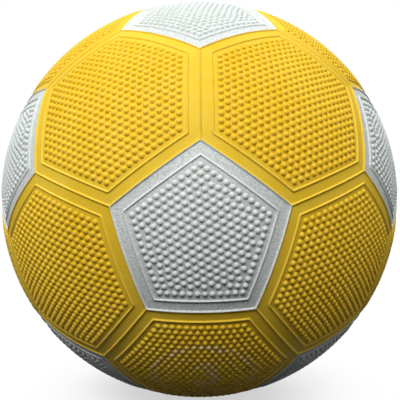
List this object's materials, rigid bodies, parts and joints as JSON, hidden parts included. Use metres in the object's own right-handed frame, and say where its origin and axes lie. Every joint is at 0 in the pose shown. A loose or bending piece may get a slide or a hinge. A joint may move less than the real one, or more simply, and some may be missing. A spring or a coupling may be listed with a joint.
{
  "type": "rubber soccer ball",
  "caption": "Pebbled rubber soccer ball with yellow hexagon and silver pentagon panels, raised seam lines and a needle valve whose core pulls out.",
  "frame": {"origin": "centre of the ball", "axes": "+Z out through the valve, which is in the middle of a hexagon panel; -Y towards the viewer, 10.8 degrees above the middle of the pentagon panel that faces the picture; +X to the viewer's right"},
  "size_m": [0.1872, 0.1878, 0.1871],
  "materials": {
    "cover_yellow": "satin",
    "cover_silver": "satin",
    "carcass_rubber": "matte",
    "winding_nylon": "matte",
    "bladder_butyl": "satin",
    "valve_rubber": "matte",
    "valve_core_rubber": "satin"
  },
  "bodies": {
    "ball": {"pentagon_panel_01": "cover_silver", "pentagon_panel_02": "cover_silver", "pentagon_panel_03": "cover_silver", "pentagon_panel_04": "cover_silver", "pentagon_panel_05": "cover_silver", "pentagon_panel_06": "cover_silver", "pentagon_panel_07": "cover_silver", "pentagon_panel_08": "cover_silver", "pentagon_panel_09": "cover_silver", "pentagon_panel_10": "cover_silver", "pentagon_panel_11": "cover_silver", "pentagon_panel_12": "cover_silver", "hexagon_panel_01": "cover_yellow", "hexagon_panel_02": "cover_yellow", "hexagon_panel_03": "cover_yellow", "hexagon_panel_04": "cover_yellow", "hexagon_panel_05": "cover_yellow", "hexagon_panel_06": "cover_yellow", "hexagon_panel_07": "cover_yellow", "hexagon_panel_08": "cover_yellow", "hexagon_panel_09": "cover_yellow", "hexagon_panel_10": "cover_yellow", "hexagon_panel_11": "cover_yellow", "hexagon_panel_12": "cover_yellow", "hexagon_panel_13": "cover_yellow", "hexagon_panel_14": "cover_yellow", "hexagon_panel_15": "cover_yellow", "hexagon_panel_16": "cover_yellow", "hexagon_panel_17": "cover_yellow", "hexagon_panel_18": "cover_yellow", "hexagon_panel_19": "cover_yellow", "hexagon_panel_20": "cover_yellow", "carcass": "carcass_rubber", "thread_winding": "winding_nylon", "bladder": "bladder_butyl", "valve_housing": "valve_rubber"},
    "valve_core": {"valve_core": "valve_core_rubber"}
  },
  "joints": [
    {"name": "valve_core_pull", "type": "slide", "parent": "ball", "child": "valve_core", "axis": [0, 0, 1], "range_m": [0, 0.018]}
  ]
}
